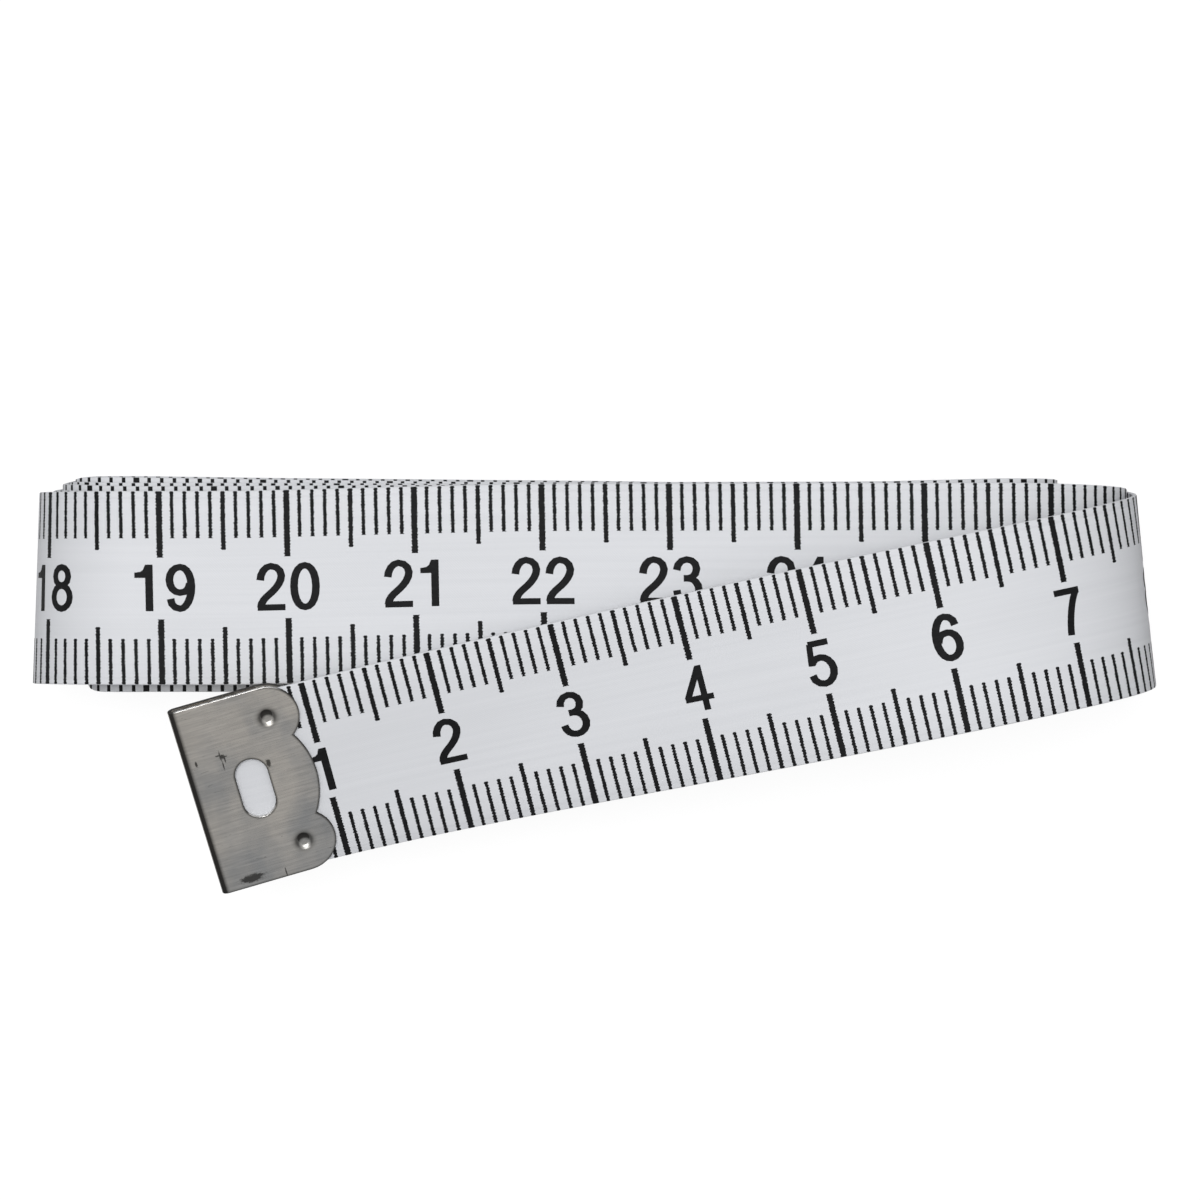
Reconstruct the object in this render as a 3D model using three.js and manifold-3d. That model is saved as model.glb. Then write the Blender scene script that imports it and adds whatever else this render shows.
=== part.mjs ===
// Cloth tape measure: a printed tape with a folded metal tip at each end, wound flat into a hank.
// Millimetres, +Z up. The hank lies on the XY plane with its runs along X, and its outer end
// folds back over the top as a loose free run that carries the start tip.
import * as THREE from 'three';
import { mergeVertices } from 'three/addons/utils/BufferGeometryUtils.js';
import Module from 'manifold-3d';

// Tape
const tapeLength = 1500;
const tapeWidth = 15;
const tapeThickness = 0.34;

// Hank: its length is over the outside of the outermost full turn
const hankLength = 86.6;
const layerGap = 0.41; // air between two layers of a run
const coreGap = 0.2; // air above and below the tip in the core
const bendAspect = 1.34; // reach of an end bend over its half height
const leftSlip = [-0.2, 0.1, 0.6, 0.8, 1.0, -1.0, -0.2, 0.2]; // sideways slip of each turn's left bend
const rightSlip = [0.3, 0.4, 0.5, 0.6, 0.7, 0.2, 0, 0]; // and of its right bend
const bendSteps = 12;

// Outer fold: the loop at the right end that turns the tape back over the hank
const foldSlant = THREE.MathUtils.degToRad(5.9); // lean of the fold line from square across the hank
const foldGap = 0.31; // least air between the fold and the turn inside it
const foldSlip = 0.3; // sideways slip of the bottom run where it leaves the fold
const crestRise = 3.8; // crest above the top of the hank
const crestReach = 10.4; // from the crest of the fold out to its furthest point
const crestDrop = 7.8; // and down to that point
const foldSteps = 14;

// Free run: the loose end on top of the hank
const freeReach = 65.15; // from the zero mark to the crest in side view
const freeGap = 0.42; // least air between the free run and the hank's top run
const freeSteps = 26;
const jointGap = 0.4; // between two stretches of tape that turn on each other

// Metal tips: one sheet folded over the end of the tape, with a scalloped free edge
const tipLength = 9.9;
const tipOverhang = 0.5; // of the sheet past each edge of the tape
const tipSheet = 0.28;
const tipPlay = 0.1; // between the sheet and each face of the tape
const tipRoll = THREE.MathUtils.degToRad(20); // twist of the start tip, which hangs over the hank's edge
const tipPitch = THREE.MathUtils.degToRad(7); // its slope, down towards its folded edge
const tipSwing = 0.55; // its sideways swing off the fold's own line
const cornerLobeRadius = 2.55;
const middleLobeRadius = 6.7;
const slotWidth = 2.6; // along the tape
const slotLength = 5; // across the tape
const slotSetback = 4.9; // slot centre from the folded edge
const dimpleDiameter = 1.2;
const dimpleDepth = 0.12;
const lobeSteps = 8;

const tapeColour = 0xd8dade;
const tipColour = 0x99958f;

const pitch = tapeThickness + layerGap;
const pocketHalf = tapeThickness / 2 + tipPlay;
const tipHalf = pocketHalf + tipSheet;
const tipWidth = tapeWidth + 2 * tipOverhang;
const corePitch = tipHalf + tapeThickness / 2 + coreGap;
const endOfHank = (hankLength - tapeThickness) / 2;
const acrossHank = new THREE.Vector3(0, 1, 0);
const foldOut = new THREE.Vector3(Math.cos(foldSlant), Math.sin(foldSlant), 0);
const foldAxis = new THREE.Vector3(-Math.sin(foldSlant), Math.cos(foldSlant), 0);

const wasm = await Module();
wasm.setup();

// Height of a run's middle: runs alternate between the bottom and the top of the hank as they wind
// inwards, and the last one is the core, with room for the tip on both sides
function runHeight(run, layers) {
  const level = (index) => (index % 2 ? layers - (index + 1) / 2 : index / 2);
  const core = level(layers - 1);
  const own = level(run);
  const spread = corePitch - pitch;
  return tapeThickness / 2 + own * pitch + (own >= core ? spread : 0) + (own > core ? spread : 0);
}

// Half an ellipse in the XZ plane that joins two runs at one end of the hank
class EndBend extends THREE.Curve {
  constructor(side, centreX, slip, fromZ, toZ) {
    super();
    Object.assign(this, { side, centreX, slip, fromZ, toZ });
  }

  getPoint(t) {
    const halfHeight = (this.fromZ - this.toZ) / 2;
    const reach = bendAspect * Math.abs(halfHeight);
    const angle = Math.PI * t;
    const x = this.centreX + this.side * reach * Math.sin(angle);
    const z = (this.fromZ + this.toZ) / 2 + halfHeight * Math.cos(angle);
    return new THREE.Vector3(x, this.slip, z);
  }
}

// A curve drawn in the slanted upright plane of the outer fold. The tape leaves that plane evenly,
// so it lies on the fold as a strip wrapped round a slanted roll, and its tip swings a little wider.
class SlantedWrap extends THREE.Curve {
  constructor(profile) {
    super();
    this.profile = profile;
    const foot = profile.getPoint(1);
    this.lateralEnd = (foldSlip - foot.x * Math.sin(foldSlant)) / Math.cos(foldSlant);
    this.lateralRun = profile.getLength() * Math.tan(foldSlant);
    this.tapeRun = profile.getLength() / Math.cos(foldSlant);
  }

  getPoint(t) {
    const flat = this.profile.getPoint(t);
    const loose = Math.max(0, 1 - t * this.tapeRun / freeReach);
    const lateral = this.lateralEnd - this.lateralRun * (1 - t) - tipSwing * loose ** 4;
    const point = new THREE.Vector3(0, 0, flat.y);
    return point.addScaledVector(foldOut, flat.x).addScaledVector(foldAxis, lateral);
  }
}

// Side view of the free run and the outer fold: the stretch in the tip, the slope up to the crest,
// and two quarter ellipses down to the bottom run
function outerProfile(hankTop, furthest, tipSink, footReach) {
  const crest = new THREE.Vector2(furthest - crestReach, hankTop + crestRise);
  const furthestZ = crest.y - crestDrop;
  const zero = new THREE.Vector2(crest.x - freeReach, hankTop - tipSink);
  const heading = new THREE.Vector2(Math.cos(tipPitch), Math.sin(tipPitch));
  const grip = zero.clone().addScaledVector(heading, tipLength);
  const ease = (crest.x - grip.x) / 3;
  const profile = new THREE.CurvePath();
  profile.add(new THREE.LineCurve(zero, grip));
  profile.add(new THREE.CubicBezierCurve(
    grip,
    grip.clone().addScaledVector(heading, ease),
    new THREE.Vector2(crest.x - ease, crest.y),
    crest,
  ));
  profile.add(new THREE.EllipseCurve(
    crest.x, furthestZ, crestReach, crestDrop, Math.PI / 2, 0, true,
  ));
  profile.add(new THREE.EllipseCurve(
    furthest - footReach, furthestZ, footReach, furthestZ - tapeThickness / 2, 0, -Math.PI / 2, true,
  ));
  return profile;
}

// The tape's runs and bends for a number of layers. The last run takes what is left of the tape,
// and where that is too short for the tip, the run before it is folded sooner.
function windTape(layers, furthest, tipSink) {
  const heights = Array.from({ length: layers }, (_, run) => runHeight(run, layers));
  const hankTop = heights[1] + tapeThickness / 2;
  const outerReach = bendAspect * (heights[1] - heights[0]) / 2;
  const footReach = bendAspect * (heights[1] - heights[2]) / 2;
  const wrap = new SlantedWrap(outerProfile(hankTop, furthest, tipSink, footReach));
  const bends = [];
  for (let run = 0; run < layers - 1; run += 1) {
    const turn = Math.floor(run / 2);
    const side = run % 2 ? 1 : -1;
    const slips = side > 0 ? rightSlip : leftSlip;
    const slip = slips[turn % slips.length];
    bends.push(new EndBend(side, side * (endOfHank - outerReach), slip, heights[run], heights[run + 1]));
  }
  const foot = wrap.getPoint(1);
  const lengthLeft = () => {
    let left = tapeLength - wrap.getLength();
    let from = foot;
    for (const bend of bends) {
      left -= from.distanceTo(bend.getPoint(0)) + bend.getLength();
      from = bend.getPoint(1);
    }
    return left;
  };
  const coreBend = bends.at(-1);
  const shortage = Math.max(0, 2 * tipLength - lengthLeft());
  coreBend.centreX -= coreBend.side * shortage;
  const left = lengthLeft();
  return { wrap, bends, foot, left, hankTop, fits: left <= 2 * (endOfHank - outerReach) };
}

// The tape's own directions at a point: along it, across it and out of its printed front.
// The twist of the tip fades out along the free run.
function orient(point, along, guide, place) {
  const across = guide.clone().addScaledVector(along, -guide.dot(along)).normalize();
  const untwisted = THREE.MathUtils.smoothstep(place, tipLength, freeReach);
  across.applyAxisAngle(along, tipRoll * (1 - untwisted));
  const front = new THREE.Vector3().crossVectors(along, across);
  return { point, along, across, front };
}

function wrapFrame(wrap, place) {
  const share = place / wrap.getLength();
  return orient(wrap.getPointAt(share), wrap.getTangentAt(share), foldAxis, place);
}

// Places on both edges and between them, as shares of the half width
const widthShares = Array.from({ length: 9 }, (_, index) => index / 4 - 1);
const measureStep = 0.6;

// Least air between the underside of the free run, or of its tip, and the top of the hank
function leastFreeGap({ wrap, hankTop }) {
  const widestSlip = Math.max(...leftSlip.concat(rightSlip).map(Math.abs));
  let least = Infinity;
  for (let place = 0; place < freeReach; place += measureStep) {
    const { point, across, front } = wrapFrame(wrap, place);
    const inTip = place < tipLength;
    for (const share of widthShares) {
      const under = point.clone().addScaledVector(across, share * (inTip ? tipWidth : tapeWidth) / 2);
      under.addScaledVector(front, -(inTip ? tipHalf : tapeThickness / 2));
      if (Math.abs(under.y) < tapeWidth / 2 + widestSlip) {
        least = Math.min(least, under.z - hankTop);
      }
    }
  }
  return least;
}

// Least air between the outer fold and the end bend inside it, in side view
function leastFoldGap({ wrap, bends }) {
  const inner = bends[1].getSpacedPoints(Math.ceil(bends[1].getLength() / measureStep));
  let least = Infinity;
  for (let place = freeReach; place < wrap.getLength(); place += measureStep) {
    const { point, across } = wrapFrame(wrap, place);
    for (const share of widthShares) {
      const edge = point.clone().addScaledVector(across, share * tapeWidth / 2);
      for (const bend of inner) {
        least = Math.min(least, Math.hypot(edge.x - bend.x, edge.z - bend.z) - tapeThickness);
      }
    }
  }
  return least;
}

// The free run is let down and the fold drawn in, in a few passes, until both keep their gaps
function layTape(layers) {
  const passes = 6;
  let furthest = endOfHank + tapeThickness + foldGap;
  let tipSink = 0;
  let wound = windTape(layers, furthest, tipSink);
  for (let pass = 0; pass < passes; pass += 1) {
    furthest += foldGap - leastFoldGap(wound);
    tipSink += leastFreeGap(wound) - freeGap;
    wound = windTape(layers, furthest, tipSink);
  }
  return wound;
}

let layers = 4;
while (!windTape(layers, endOfHank, 0).fits) {
  layers += 1;
}
let tape = layTape(layers);
if (!tape.fits) {
  layers += 1;
  tape = layTape(layers);
}

// The whole tape as one path, with the places of its section rings
const tapePath = new THREE.CurvePath();
const ringPlaces = [];
let reached = 0;

function addToPath(curve, steps) {
  tapePath.add(curve);
  for (let step = 0; step < steps; step += 1) {
    ringPlaces.push(reached + curve.getLength() * step / steps);
  }
  reached += curve.getLength();
}

addToPath(tape.wrap, freeSteps + 2 * foldSteps);
const wrapEnd = reached;
let runStart = tape.foot;
for (const bend of tape.bends) {
  addToPath(new THREE.LineCurve3(runStart, bend.getPoint(0)), 1);
  addToPath(bend, bendSteps);
  runStart = bend.getPoint(1);
}
const coreRun = new THREE.Vector3(-tape.bends.at(-1).side * tape.left, 0, 0);
addToPath(new THREE.LineCurve3(runStart, runStart.clone().add(coreRun)), 1);

function tapeFrame(place) {
  const share = place / reached;
  const guide = place < wrapEnd ? foldAxis : acrossHank;
  return orient(tapePath.getPoint(share), tapePath.getTangent(share), guide, place);
}

// A closed strip of tape between two places on the path
function tapeStretch(from, to) {
  const between = ringPlaces.filter((place) => place > from + jointGap && place < to - jointGap);
  const places = [from, ...between, to];
  const corners = [[1, 1], [-1, 1], [-1, -1], [1, -1]];
  const positions = [];
  const faces = [];
  places.forEach((place, ring) => {
    const { point, across, front } = tapeFrame(place);
    corners.forEach(([side, face], corner) => {
      const vertex = point.clone().addScaledVector(across, side * tapeWidth / 2);
      vertex.addScaledVector(front, face * tapeThickness / 2);
      positions.push(vertex.x, vertex.y, vertex.z);
      if (ring > 0) {
        const here = 4 * ring + corner;
        const beside = 4 * ring + (corner + 1) % 4;
        faces.push(here - 4, beside - 4, beside, here - 4, beside, here);
      }
    });
  });
  const last = 4 * (places.length - 1);
  faces.push(0, 2, 1, 0, 3, 2, last, last + 1, last + 2, last, last + 2, last + 3);
  const geometry = new THREE.BufferGeometry();
  geometry.setAttribute('position', new THREE.Float32BufferAttribute(positions, 3));
  geometry.setIndex(faces);
  geometry.computeVertexNormals();
  return geometry;
}

function toSolid(geometry) {
  const weldDistance = 1e-4;
  const bare = geometry.clone();
  bare.deleteAttribute('normal');
  bare.deleteAttribute('uv');
  const merged = mergeVertices(bare, weldDistance);
  const vertProperties = new Float32Array(merged.attributes.position.array);
  const triVerts = new Uint32Array(merged.index.array);
  return new wasm.Manifold(new wasm.Mesh({ numProp: 3, vertProperties, triVerts }));
}

function toGeometry(solid) {
  const mesh = solid.getMesh();
  const geometry = new THREE.BufferGeometry();
  geometry.setAttribute('position', new THREE.BufferAttribute(new Float32Array(mesh.vertProperties), 3));
  geometry.setIndex(Array.from(mesh.triVerts));
  return geometry;
}

// Where the corner lobe's circle meets the middle lobe's, on the free edge of the tip
function scallopNotch(cornerCentre, middleCentre) {
  const apart = cornerCentre.clone().sub(middleCentre);
  const distance = apart.length();
  const reach = (middleLobeRadius ** 2 - cornerLobeRadius ** 2 + distance ** 2) / (2 * distance);
  const rise = Math.sqrt(middleLobeRadius ** 2 - reach ** 2);
  const unit = apart.divideScalar(distance);
  const aside = new THREE.Vector2(unit.y, -unit.x);
  return middleCentre.clone().addScaledVector(unit, reach).addScaledVector(aside, rise);
}

// The tip's outline from above: x along the tape from the folded edge, y across it
function tipOutline(cornerCentre) {
  const middleCentre = new THREE.Vector2(tipLength - middleLobeRadius, 0);
  const notch = scallopNotch(cornerCentre, middleCentre);
  const cornerTurn = notch.clone().sub(cornerCentre).angle();
  const middleTurn = notch.clone().sub(middleCentre).angle();
  const outline = new THREE.Shape();
  outline.moveTo(0, -tipWidth / 2);
  outline.lineTo(cornerCentre.x, -tipWidth / 2);
  outline.absarc(cornerCentre.x, -cornerCentre.y, cornerLobeRadius, -Math.PI / 2, -cornerTurn, false);
  outline.absarc(middleCentre.x, middleCentre.y, middleLobeRadius, -middleTurn, middleTurn, false);
  outline.absarc(cornerCentre.x, cornerCentre.y, cornerLobeRadius, cornerTurn, Math.PI / 2, false);
  outline.lineTo(0, tipWidth / 2);
  const slot = new THREE.Path();
  const slotEnd = (slotLength - slotWidth) / 2;
  slot.absarc(slotSetback, slotEnd, slotWidth / 2, 0, Math.PI, false);
  slot.absarc(slotSetback, -slotEnd, slotWidth / 2, Math.PI, 2 * Math.PI, false);
  outline.holes.push(slot);
  return outline;
}

// The bent sheet from the side: two leaves joined by a round fold
function tipSection() {
  const section = new THREE.Shape();
  section.moveTo(tipLength, tipHalf);
  section.lineTo(tipHalf, tipHalf);
  section.absarc(tipHalf, 0, tipHalf, Math.PI / 2, 1.5 * Math.PI, false);
  section.lineTo(tipLength, -tipHalf);
  section.lineTo(tipLength, -pocketHalf);
  section.lineTo(tipHalf, -pocketHalf);
  section.absarc(tipHalf, 0, pocketHalf, 1.5 * Math.PI, Math.PI / 2, true);
  section.lineTo(tipLength, pocketHalf);
  return section;
}

// Folded tip: the bent sheet cut to the scalloped outline, with two dimples pressed in its front leaf.
// Its origin is the tape's end, with +X into the tape and +Z out of the front.
function makeTipGeometry() {
  const cornerCentre = new THREE.Vector2(tipLength - cornerLobeRadius, tipWidth / 2 - cornerLobeRadius);
  const flatEnds = { bevelEnabled: false, curveSegments: lobeSteps };
  const sheet = new THREE.ExtrudeGeometry(tipSection(), { depth: tipWidth, ...flatEnds });
  sheet.rotateX(Math.PI / 2).translate(0, tipWidth / 2, 0);
  const blankHeight = 4 * tipHalf;
  const blank = new THREE.ExtrudeGeometry(tipOutline(cornerCentre), { depth: blankHeight, ...flatEnds });
  blank.translate(0, 0, -blankHeight / 2);
  let tip = toSolid(sheet).intersect(toSolid(blank));
  for (const side of [-1, 1]) {
    const radius = dimpleDiameter / 2;
    const punch = new THREE.CylinderGeometry(radius, radius / 2, 2 * dimpleDepth, 2 * lobeSteps);
    punch.rotateX(Math.PI / 2).translate(cornerCentre.x, side * cornerCentre.y, tipHalf);
    tip = tip.subtract(toSolid(punch));
  }
  return toGeometry(tip).translate(-tipHalf, 0, 0);
}

// Least air between two parts of the wound path, in side view. Neighbours along one bend are left out.
function leastHankGap(from) {
  const nearby = 8 * pitch;
  const points = [];
  for (let place = from; place < reached; place += measureStep) {
    points.push(tapePath.getPoint(place / reached));
  }
  let least = Infinity;
  points.forEach((point, index) => {
    for (let other = index + Math.ceil(nearby / measureStep); other < points.length; other += 1) {
      least = Math.min(least, Math.hypot(point.x - points[other].x, point.z - points[other].z));
    }
  });
  return least - tapeThickness;
}

const tapeMeasure = new THREE.Group();

function addTape(name, from, to) {
  const material = new THREE.MeshStandardMaterial({ color: tapeColour, roughness: 0.6, metalness: 0 });
  const mesh = new THREE.Mesh(tapeStretch(from, to), material);
  mesh.name = name;
  tapeMeasure.add(mesh);
}

// A tip on one end of the tape: heading is 1 where the tape runs away from it and -1 where it arrives
function addTip(name, place, heading) {
  const { point, along, across, front } = tapeFrame(place);
  const material = new THREE.MeshStandardMaterial({ color: tipColour, roughness: 0.4, metalness: 1 });
  const mesh = new THREE.Mesh(makeTipGeometry(), material);
  mesh.name = name;
  const turn = new THREE.Matrix4();
  turn.makeBasis(along.multiplyScalar(heading), across.multiplyScalar(heading), front);
  mesh.quaternion.setFromRotationMatrix(turn);
  mesh.position.copy(point);
  tapeMeasure.add(mesh);
}

// The fold turns on two lines across the tape, halfway round each of its quarter bends
const [gripPart, slopePart, crestPart, footPart] = tape.wrap.profile.curves
  .map((curve) => curve.getLength() / Math.cos(foldSlant));
const upperHinge = gripPart + slopePart + crestPart / 2;
const lowerHinge = gripPart + slopePart + crestPart + footPart / 2;

addTape('tape_free_run', 0, upperHinge - jointGap / 2);
addTape('tape_fold', upperHinge + jointGap / 2, lowerHinge - jointGap / 2);
addTape('tape_hank', lowerHinge + jointGap / 2, reached);
addTip('start_tip', 0, 1);
addTip('end_tip', reached, -1);

const show = (vector) => vector.toArray().map((value) => value.toFixed(4)).join(', ');
console.log(`layers ${layers}, tape ${reached.toFixed(2)} mm, top of hank ${tape.hankTop.toFixed(3)} mm`);
console.log(`least gap of the hank to itself ${leastHankGap(lowerHinge).toFixed(3)} mm`);
console.log(`least gap of the fold ${leastFoldGap(tape).toFixed(3)} mm`);
console.log(`least gap of the free run ${leastFreeGap(tape).toFixed(3)} mm`);
for (const [name, place] of [['upper', upperHinge], ['lower', lowerHinge]]) {
  const { point, across } = tapeFrame(place);
  console.log(`${name} hinge at ${place.toFixed(2)} mm of tape: ${show(point)} about ${show(across)}`);
}

export default tapeMeasure;
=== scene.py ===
import math
import random

import bmesh
import bpy
import numpy as np
from mathutils import Matrix, Vector
from mathutils.geometry import delaunay_2d_cdt, interpolate_bezier


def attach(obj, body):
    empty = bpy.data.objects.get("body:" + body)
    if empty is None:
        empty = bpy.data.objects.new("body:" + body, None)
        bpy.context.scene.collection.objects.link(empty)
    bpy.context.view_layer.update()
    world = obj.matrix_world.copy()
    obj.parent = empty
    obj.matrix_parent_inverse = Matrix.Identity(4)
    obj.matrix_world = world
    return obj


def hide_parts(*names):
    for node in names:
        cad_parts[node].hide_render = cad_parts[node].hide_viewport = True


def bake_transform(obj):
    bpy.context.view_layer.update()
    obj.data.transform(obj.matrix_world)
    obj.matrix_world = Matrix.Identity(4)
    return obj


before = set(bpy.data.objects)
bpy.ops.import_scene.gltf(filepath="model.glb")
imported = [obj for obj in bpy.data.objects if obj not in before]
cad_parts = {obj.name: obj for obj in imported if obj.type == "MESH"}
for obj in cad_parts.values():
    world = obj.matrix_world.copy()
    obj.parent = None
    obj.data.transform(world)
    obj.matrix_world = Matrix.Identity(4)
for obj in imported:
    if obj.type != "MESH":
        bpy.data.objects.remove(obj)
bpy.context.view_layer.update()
mm = 0.001  # sizes are in millimetres until a mesh is put in its place
print("frame loaded:", ", ".join(sorted(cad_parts)))


# The tape's path: from the start tip along the free run, over the outer fold and round the hank
tape = {
    "length": 1500.0,
    "width": 15.2,
    "thickness": 0.34,
    "layers": 18,
    "layerGap": 0.41,
    "coreRoom": 0.17,  # extra air on each side of the core run, where the end tip lies
    "hankLength": 86.6,
    "bendAspect": 1.34,  # usual reach of an end bend over its half height
    "coreEnd": -8.03,  # where the far end of the tape lies along the hank
    # each turn's end bends, outermost first: shift outwards, aspect, how pointed, sideways tuck
    "leftBends": [
        (0.485, 1.2365, 1.117, 0.0), (-0.6, 1.34, 1.0, -0.12), (-0.3, 1.34, 1.0, -0.16),
        (0.15, 1.34, 1.0, -0.14), (0.7, 1.34, 1.0, -0.2), (0.7, 1.34, 1.0, 0.5),
        (0.4, 1.34, 1.0, 0.0), (0.2, 1.34, 1.0, 0.0),
    ],
    "rightBends": [
        (-1.129, 1.65, 1.138, 0.0), (-0.5, 1.40, 1.06, 0.0), (-0.2, 1.34, 1.03, 0.0),
        (-0.3, 1.34, 1.0, 0.0), (-0.73, 1.34, 1.0, -0.1), (-1.1, 1.34, 1.0, 0.0),
        (-1.0, 1.34, 1.0, 0.0), (-0.5, 1.34, 1.0, 0.0),
    ],
    "tuckPower": 10,  # how closely a tuck keeps to the middle of its bend
    # the outermost left bend bulges more at one edge
    "lean": {"most": 0.034, "from": -34.8, "over": 8.0, "power": 1.5, "upTo": 205.0},
    "ripple": 0.1,  # how far a run strays from flat
    "rippleTurn": 5.0,
    "rippleShift": 2.1,
    "leastTurn": 1.0,  # degrees from one step to the next, from which the tape counts as bent
    "runStep": 3.0,
    "bendSteps": 36,
    "slipPlaces": (0.0, 0.12, 0.28, 0.45, 0.85, 1.0),  # shares of a run at which its sideways slip is given
    "slips": [
        (0.09, 0.05, 0.00, -0.10, -0.20, -0.26),
        (-0.29, -0.28, 0.00, 0.28, 0.35, 0.37),
        (-0.40, -0.30, -0.20, 0.00, 0.20, 0.31),
        (-0.31, -0.30, -0.10, 0.10, 0.10, 0.10),
        (0.10, 0.20, 0.30, 0.50, 0.80, 0.99),
        (0.12, 0.15, 0.22, 0.20, 0.20, 0.20),
        (0.20, 0.25, 0.35, 0.50, 0.80, 1.00),
        (0.40, 0.39, 0.38, 0.25, 0.20, 0.20),
        (0.20, 0.30, 0.50, 0.70, 0.95, 1.10),
        (0.86, 0.72, 0.58, 0.46, 0.52, 0.74),
        (0.90, 0.70, 0.30, -0.20, -0.80, -1.00),
        (-0.90, -0.90, -0.80, -0.50, 0.00, 0.10),
        (0.20, 0.10, 0.05, 0.00, -0.10, -0.20),
        (-0.20, -0.10, 0.00, 0.00, 0.00, 0.00),
        (0.00, 0.05, 0.10, 0.10, 0.15, 0.20),
        (0.20, 0.15, 0.10, 0.10, 0.05, 0.00),
        (0.00, 0.00, -0.10, -0.10, -0.15, -0.20),
        (-0.20, -0.20, -0.20, -0.20, -0.20, -0.20),
    ],
}

fold = {
    "slant": 0.1009,  # of the fold from square, in radians
    "furthest": 44.48,
    "crestRise": 3.946,  # over the hank's top
    "crestReach": 14.9,
    "crestDrop": 8.7,
    "gripEase": 1.75,  # how far the slope keeps on straight from the tip
    "crestEase": 0.604,  # and how far it runs level before the crest
    "footAspect": 1.06,
    "slip": 0.094,
    "freeReach": 60.7,
    "tipSink": 0.547,  # below the hank's top
    "tipPitch": -0.0301,  # radians, as is the roll
    "tipRoll": 0.3734,
    "rollStart": 7.26,
    "rollEnd": 78.38,
    "tipSwing": 0.923,
    "swingPower": 5.38,
    "tipHold": 9.9,  # stretch of tape that the tip keeps straight
    "holdSteps": 10,
    "slopeSteps": 70,
    "bendSteps": 24,
}

foldOut = np.array([math.cos(fold["slant"]), math.sin(fold["slant"]), 0.0])
foldAxis = np.array([-math.sin(fold["slant"]), math.cos(fold["slant"]), 0.0])
upright = np.array([0.0, 0.0, 1.0])


def smoothStep(value):
    value = np.clip(value, 0, 1)
    return value * value * (3 - 2 * value)


def runHeight(run):
    level = tape["layers"] - (run + 1) // 2 if run % 2 else run // 2
    core = tape["layers"] // 2
    rooms = (level >= core) + (level > core)
    pitch = tape["thickness"] + tape["layerGap"]
    return tape["thickness"] / 2 + level * pitch + rooms * tape["coreRoom"]


def foldSideView():
    # tip, slope up to the crest, then a quarter ellipse out and one down to the bottom run
    hankTop = runHeight(1) + tape["thickness"] / 2
    crest = Vector((fold["furthest"] - fold["crestReach"], hankTop + fold["crestRise"]))
    sideHeight = crest.y - fold["crestDrop"]
    footReach = fold["footAspect"] * (runHeight(1) - runHeight(2)) / 2
    zero = Vector((crest.x - fold["freeReach"], hankTop - fold["tipSink"]))
    heading = Vector((math.cos(fold["tipPitch"]), math.sin(fold["tipPitch"])))
    grip = zero + heading * fold["tipHold"]
    ease = (crest.x - grip.x) / 3
    handles = grip + heading * ease * fold["gripEase"], crest - Vector((ease * fold["crestEase"], 0))
    slope = interpolate_bezier(grip, *handles, crest, fold["slopeSteps"])
    held = fold["holdSteps"]
    points = [zero.lerp(grip, step / held) for step in range(held)] + list(slope)
    turn = [math.pi / 2 * (step + 1) / fold["bendSteps"] for step in range(fold["bendSteps"])]
    for angle in turn:
        out = crest.x + fold["crestReach"] * math.sin(angle)
        points.append(Vector((out, sideHeight + fold["crestDrop"] * math.cos(angle))))
    for angle in turn:
        out = fold["furthest"] - footReach * (1 - math.cos(angle))
        drop = (sideHeight - tape["thickness"] / 2) * math.sin(angle)
        points.append(Vector((out, sideHeight - drop)))
    return np.array([point[:] for point in points])


def lengthsAlong(points):
    steps = np.linalg.norm(np.diff(points, axis=0), axis=1)
    return np.concatenate([[0.0], np.cumsum(steps)])


def foldPath():
    # the side view drifts evenly along the slanted fold, and the tip swings a little wider
    side = foldSideView()
    run = lengthsAlong(side)
    share = run / run[-1]
    slant = fold["slant"]
    lateralEnd = (fold["slip"] - side[-1, 0] * math.sin(slant)) / math.cos(slant)
    loose = np.clip(1 - run / math.cos(slant) / fold["freeReach"], 0, 1)
    drift = run[-1] * math.tan(slant) * (1 - share)
    lateral = lateralEnd - drift - fold["tipSwing"] * loose ** fold["swingPower"]
    return np.outer(side[:, 0], foldOut) + np.outer(lateral, foldAxis) + np.outer(side[:, 1], upright)


def layRun(run, startX, endX):
    steps = math.ceil(abs(endX - startX) / tape["runStep"])
    share = np.arange(1, steps + 1) / steps
    stray = np.sin(tape["rippleTurn"] * share + tape["rippleShift"] * run)
    stray = abs(stray) if run == 0 else -abs(stray) if run == 1 else stray  # the outer runs stray inwards
    height = runHeight(run) + tape["ripple"] * np.sin(math.pi * share) * stray
    slip = np.interp(share, tape["slipPlaces"], tape["slips"][run])
    return np.stack([startX + (endX - startX) * share, slip, height], axis=1)


def layBend(run, centre, side, shape=(0.0, tape["bendAspect"], 1.0, 0.0)):
    # half an ellipse, or a more pointed curve, from this run to the next
    _, aspect, point, tuck = shape
    middle = (runHeight(run) + runHeight(run + 1)) / 2
    half = (runHeight(run) - runHeight(run + 1)) / 2
    share = np.arange(1, tape["bendSteps"] + 1) / tape["bendSteps"]
    across, upwards = np.sin(math.pi * share), np.cos(math.pi * share)
    reach = side * aspect * abs(half) * np.clip(across, 0, 1) ** point
    height = middle + half * np.sign(upwards) * abs(upwards) ** point
    before, after = tape["slips"][run][-1], tape["slips"][run + 1][0]
    slip = before + (after - before) * smoothStep(share) + tuck * np.clip(across, 0, 1) ** tape["tuckPower"]
    return np.stack([centre + reach, slip, height], axis=1)


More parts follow.
